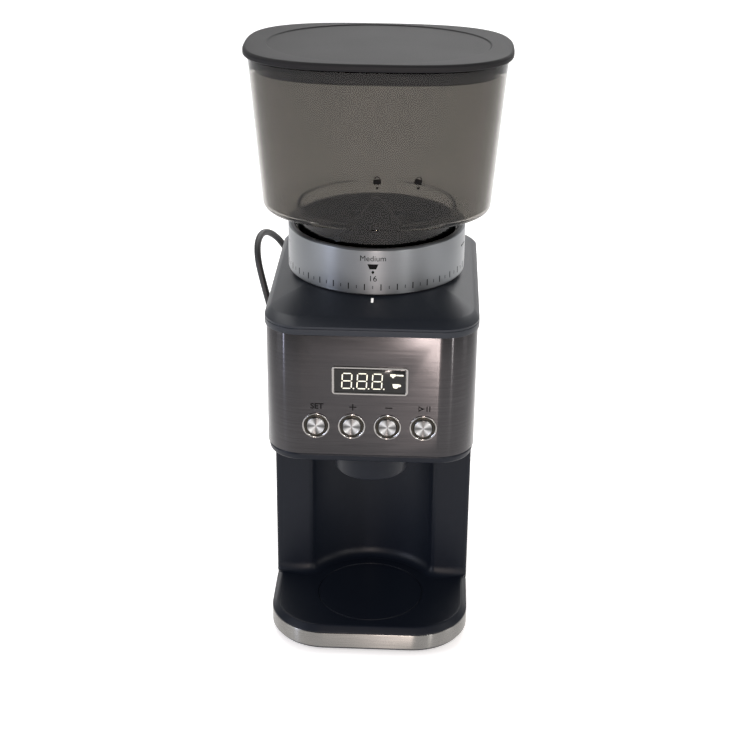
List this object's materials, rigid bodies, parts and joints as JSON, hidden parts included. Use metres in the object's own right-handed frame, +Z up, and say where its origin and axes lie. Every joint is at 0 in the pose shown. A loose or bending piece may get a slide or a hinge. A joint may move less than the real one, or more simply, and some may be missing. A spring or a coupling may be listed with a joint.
{
  "type": "burr coffee grinder",
  "caption": "Upright conical burr coffee grinder with a smoked hopper, a turning grind dial, a steel control panel, a round spout and an open bay over a flat base.",
  "frame": {"origin": "middle of the footprint, on the surface that the feet stand on", "axes": "+X to the right, +Y to the back, +Z up; the control panel faces -Y"},
  "size_m": [0.1811, 0.3055, 0.3954],
  "materials": {
    "black_plastic": "satin moulded black",
    "dark_cover": "satin dark grey-blue paint on plastic",
    "brushed_steel": "horizontal brush",
    "satin_aluminium": "bead-blasted satin",
    "chrome_trim": "polished",
    "spun_cap": "spun circular brush",
    "smoked_plastic": "smoked transparent plastic",
    "lid_plastic": "satin charcoal",
    "rubber_black": "matt",
    "black_glass": "dark display window",
    "display_dark": "display module",
    "circuit_board": "green solder mask",
    "burr_steel": "machined hardened steel",
    "gear_plastic": "white acetal",
    "zinc_steel": "zinc plated",
    "motor_steel": "motor iron",
    "plug_metal": "nickel-plated brass",
    "cord_black": "black lead"
  },
  "bodies": {
    "chassis": {"base_deck": "black_plastic", "base_screws": "zinc_steel", "base_tray": "black_plastic", "base_trim": "brushed_steel", "bottom_cover": "black_plastic", "burr_chamber": "black_plastic", "button_bezels": "chrome_trim", "column_front": "black_plastic", "control_board": "circuit_board", "cord_coil": "cord_black", "display_frame": "chrome_trim", "display_module": "display_dark", "display_window": "black_glass", "foot_back_left": "rubber_black", "foot_back_right": "rubber_black", "foot_front_left": "rubber_black", "foot_front_right": "rubber_black", "front_panel": "brushed_steel", "gear_case": "black_plastic", "gear_cover": "black_plastic", "grounds_chute": "black_plastic", "head_underside": "black_plastic", "idler_pin": "zinc_steel", "lock_switch": "black_plastic", "lower_bearing": "zinc_steel", "motor_can": "motor_steel", "motor_magnets": "motor_steel", "panel_frame": "black_plastic", "plug_body": "cord_black", "plug_pins": "plug_metal", "power_board": "circuit_board", "power_cord": "cord_black", "push_switches": "black_plastic", "rear_housing": "black_plastic", "spout": "black_plastic", "strain_relief": "cord_black", "top_cover": "dark_cover", "upper_bearing": "zinc_steel"},
    "dial": {"dial_ring": "satin_aluminium", "dial_core": "black_plastic"},
    "burr_mount": {"burr_carrier": "black_plastic", "ring_burr": "burr_steel"},
    "lock": {"lock_ring": "black_plastic"},
    "hopper_body": {"hopper": "smoked_plastic", "hopper_guard": "black_plastic"},
    "lid": {"hopper_lid": "lid_plastic", "lid_seal": "rubber_black"},
    "key_set": {"button_set": "spun_cap"},
    "key_plus": {"button_plus": "spun_cap"},
    "key_minus": {"button_minus": "spun_cap"},
    "key_start": {"button_start": "spun_cap"},
    "burr_rotor": {"cone_burr": "burr_steel", "burr_bolt": "zinc_steel", "impeller": "black_plastic", "drive_shaft": "burr_steel", "drive_gear": "gear_plastic"},
    "idler": {"idler_gear": "gear_plastic"},
    "rotor": {"motor_rotor": "motor_steel", "motor_pinion": "zinc_steel"}
  },
  "joints": [
    {"name": "dial_turn", "type": "hinge", "parent": "chassis", "child": "dial", "pos_m": [0, 0.0035, 0.263], "axis": [0, 0, 1], "range_deg": [-77.1, 77.1]},
    {"name": "burr_adjust", "type": "slide", "parent": "chassis", "child": "burr_mount", "axis": [0, 0, 1], "range_m": [-0.00043, 0.00043]},
    {"name": "hopper_turn", "type": "hinge", "parent": "chassis", "child": "lock", "pos_m": [0, 0.0035, 0.256], "axis": [0, 0, 1], "range_deg": [-25, 0]},
    {"name": "hopper_lift", "type": "slide", "parent": "lock", "child": "hopper_body", "axis": [0, 0, 1], "range_m": [0, 0.08]},
    {"name": "lid_lift", "type": "slide", "parent": "hopper_body", "child": "lid", "axis": [0, 0, 1], "range_m": [0, 0.06]},
    {"name": "press_set", "type": "slide", "parent": "chassis", "child": "key_set", "axis": [0, 1, 0], "range_m": [0, 0.001], "stiffness_N_per_m": 400, "springref_m": -0.001},
    {"name": "press_plus", "type": "slide", "parent": "chassis", "child": "key_plus", "axis": [0, 1, 0], "range_m": [0, 0.001], "stiffness_N_per_m": 400, "springref_m": -0.001},
    {"name": "press_minus", "type": "slide", "parent": "chassis", "child": "key_minus", "axis": [0, 1, 0], "range_m": [0, 0.001], "stiffness_N_per_m": 400, "springref_m": -0.001},
    {"name": "press_start", "type": "slide", "parent": "chassis", "child": "key_start", "axis": [0, 1, 0], "range_m": [0, 0.001], "stiffness_N_per_m": 400, "springref_m": -0.001},
    {"name": "motor_spin", "type": "hinge", "parent": "chassis", "child": "rotor", "pos_m": [0, 0.048, 0.1], "axis": [0, 0, 1], "continuous": true},
    {"name": "idler_spin", "type": "hinge", "parent": "chassis", "child": "idler", "pos_m": [0.0201, 0.0271, 0.17], "axis": [0, 0, 1], "continuous": true},
    {"name": "burr_spin", "type": "hinge", "parent": "chassis", "child": "burr_rotor", "pos_m": [0, 0.0035, 0.2], "axis": [0, 0, 1], "continuous": true}
  ],
  "couplings": [
    {"joint": "burr_adjust", "follows": "dial_turn", "m_per_rad": 0.000318},
    {"joint": "idler_spin", "follows": "motor_spin", "ratio": -0.26087},
    {"joint": "burr_spin", "follows": "motor_spin", "ratio": 0.090737}
  ]
}
